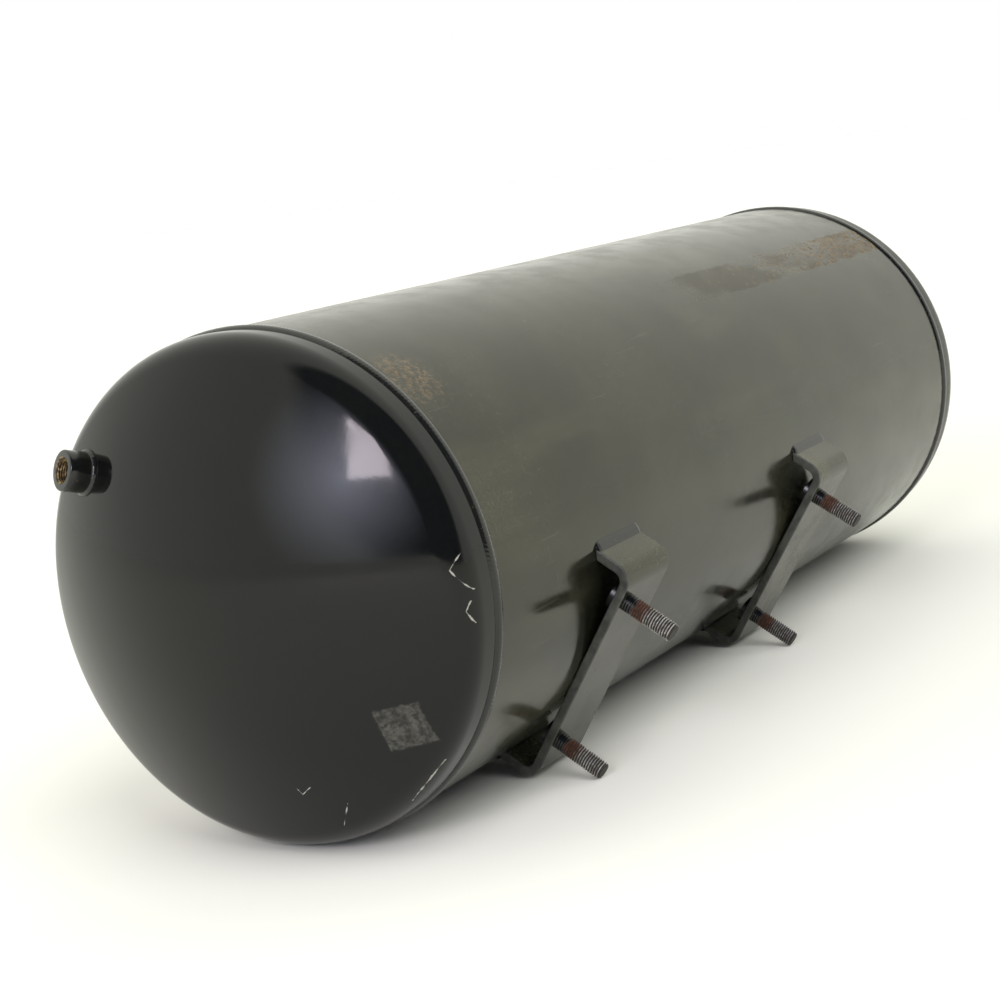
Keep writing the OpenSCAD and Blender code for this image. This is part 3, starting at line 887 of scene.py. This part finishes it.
def stud_steel(stud, foot, brightness):
    """Rolled steel thread: black paint at the foot, red-brown rust, then rubbed steel."""
    material, tree, shader = new_material("rusted_and_rubbed_steel_" + stud)
    place = add(tree, "TexCoord").outputs["Object"]
    offset = add(tree, "VectorMath", (place, foot), operation="SUBTRACT").outputs[0]
    rise = add(tree, "VectorMath", (offset, out_of_studs), operation="DOT_PRODUCT").outputs["Value"]
    along = add(tree, "VectorMath", {0: out_of_studs, "Scale": rise}, operation="SCALE").outputs[0]
    reach = add(tree, "VectorMath", (offset, along), operation="DISTANCE").outputs["Value"]
    crest = add(tree, "MapRange", (reach, STUD_RADIUS - 0.75 * STUD_CUT,
                                   STUD_RADIUS - 0.2 * STUD_CUT),
                interpolation_type="SMOOTHSTEP").outputs[0]
    ragged = add(tree, "Math", (grain(tree, place, 4, 4), 9 * MM, rise),
                 operation="MULTIPLY_ADD").outputs[0]
    bare = add(tree, "MapRange", (ragged, *STUD_PAINT_END),
               interpolation_type="SMOOTHSTEP").outputs[0]
    rubbed = add(tree, "MapRange", (ragged, *STUD_RUBBED_FROM),
                 interpolation_type="SMOOTHSTEP").outputs[0]
    mottle = add(tree, "MapRange", (grain(tree, place, 2.5, 3), 0.35, 0.65),
                 interpolation_type="SMOOTHSTEP").outputs[0]

    steel = add(tree, "Mix", {0: mottle, 6: linear(STEEL_DARK), 7: linear(STEEL_BRIGHT)},
                data_type="RGBA").outputs[2]
    clean = add(tree, "Math", (crest, brightness), operation="MULTIPLY").outputs[0]
    steel = add(tree, "Mix", {0: clean, 6: linear(GRIME), 7: steel}, data_type="RGBA").outputs[2]
    light = add(tree, "Math", (mottle, crest), operation="MULTIPLY").outputs[0]
    rust = add(tree, "Mix", {0: light, 6: linear(STUD_RUST), 7: linear(STUD_RUST_LIGHT)},
               data_type="RGBA").outputs[2]
    colour = add(tree, "Mix", {0: rubbed, 6: rust, 7: steel}, data_type="RGBA").outputs[2]
    colour = add(tree, "Mix", {0: bare, 6: linear(BLACK), 7: colour}, data_type="RGBA").outputs[2]
    tree.links.new(colour, shader.inputs["Base Color"])

    metal = rubbed
    for share in (crest, 0.6 * brightness):
        metal = add(tree, "Math", (metal, share), operation="MULTIPLY").outputs[0]
    tree.links.new(metal, shader.inputs["Metallic"])
    rough = add(tree, "Mix", {0: bare, 2: 0.25, 3: 0.7}, data_type="FLOAT").outputs[0]
    rough = add(tree, "Mix", {0: metal, 2: rough, 3: 0.3}, data_type="FLOAT").outputs[0]
    tree.links.new(rough, shader.inputs["Roughness"])
    bump = add(tree, "Bump", {"Height": grain(tree, place, 1.2, 4), "Distance": 0.1 * MM,
                              "Strength": 0.4})
    tree.links.new(bump.outputs[0], shader.inputs["Normal"])
    return material


stud_turn = np.linspace(0, 2 * np.pi, STUD_SIDES, endpoint=False)[:, None]
for number, stud in enumerate(("front_upper_stud", "front_lower_stud", "rear_upper_stud",
                               "rear_lower_stud")):
    place = placed(mounts[stud + "_thread"], 0)
    sunk = STRIP_THICKNESS + TOUCH
    outline = [(0, -sunk - STUD_HEAD), (STUD_HEAD_RADIUS, -sunk - STUD_HEAD),
               (STUD_HEAD_RADIUS, -sunk), (SHANK_RADIUS, -sunk), (SHANK_RADIUS, 0)]
    plain = len(outline)
    outline += [(STUD_RADIUS, h) for h in np.arange(0, STUD_LENGTH, STUD_STEP)]
    outline += [(STUD_RADIUS - STUD_CHAMFER, STUD_LENGTH), (0, STUD_LENGTH)]
    radius, level = np.array(outline).T
    order = np.arange(len(radius))
    threaded = (order >= plain) & (order < len(radius) - 2)
    cut = thread_depth(level, stud_turn, STUD_PITCH)
    bruise = 0.5 + 0.5 * np.sin(3 * stud_turn + level / (2.3 * MM) + number) * np.sin(
        2 * stud_turn - level / (3.7 * MM) + 2 * number)
    crest = BRUISE_DEPTH * np.clip(bruise - 0.45, 0, 1) * (level > 0.45 * STUD_LENGTH)
    filled = np.clip((level - 2 * MM) / (7 * MM), 0.25, 1)
    radii = STUD_RADIUS - STUD_CUT * np.maximum(cut * filled, crest)
    radii = np.minimum(radii, STUD_RADIUS - STUD_CHAMFER + (STUD_LENGTH - level))
    radii = np.where(threaded, radii, radius)
    piece = turned(stud + "_threaded", radii, level, stud_turn, place)
    brightness = 1.0 if stud.startswith("front") else REAR_STUD_BRIGHTNESS
    fit(piece, [stud], "stud_steel", stud_steel(stud, place.to_translation(), brightness))


scene.view_settings.view_transform = "Standard"
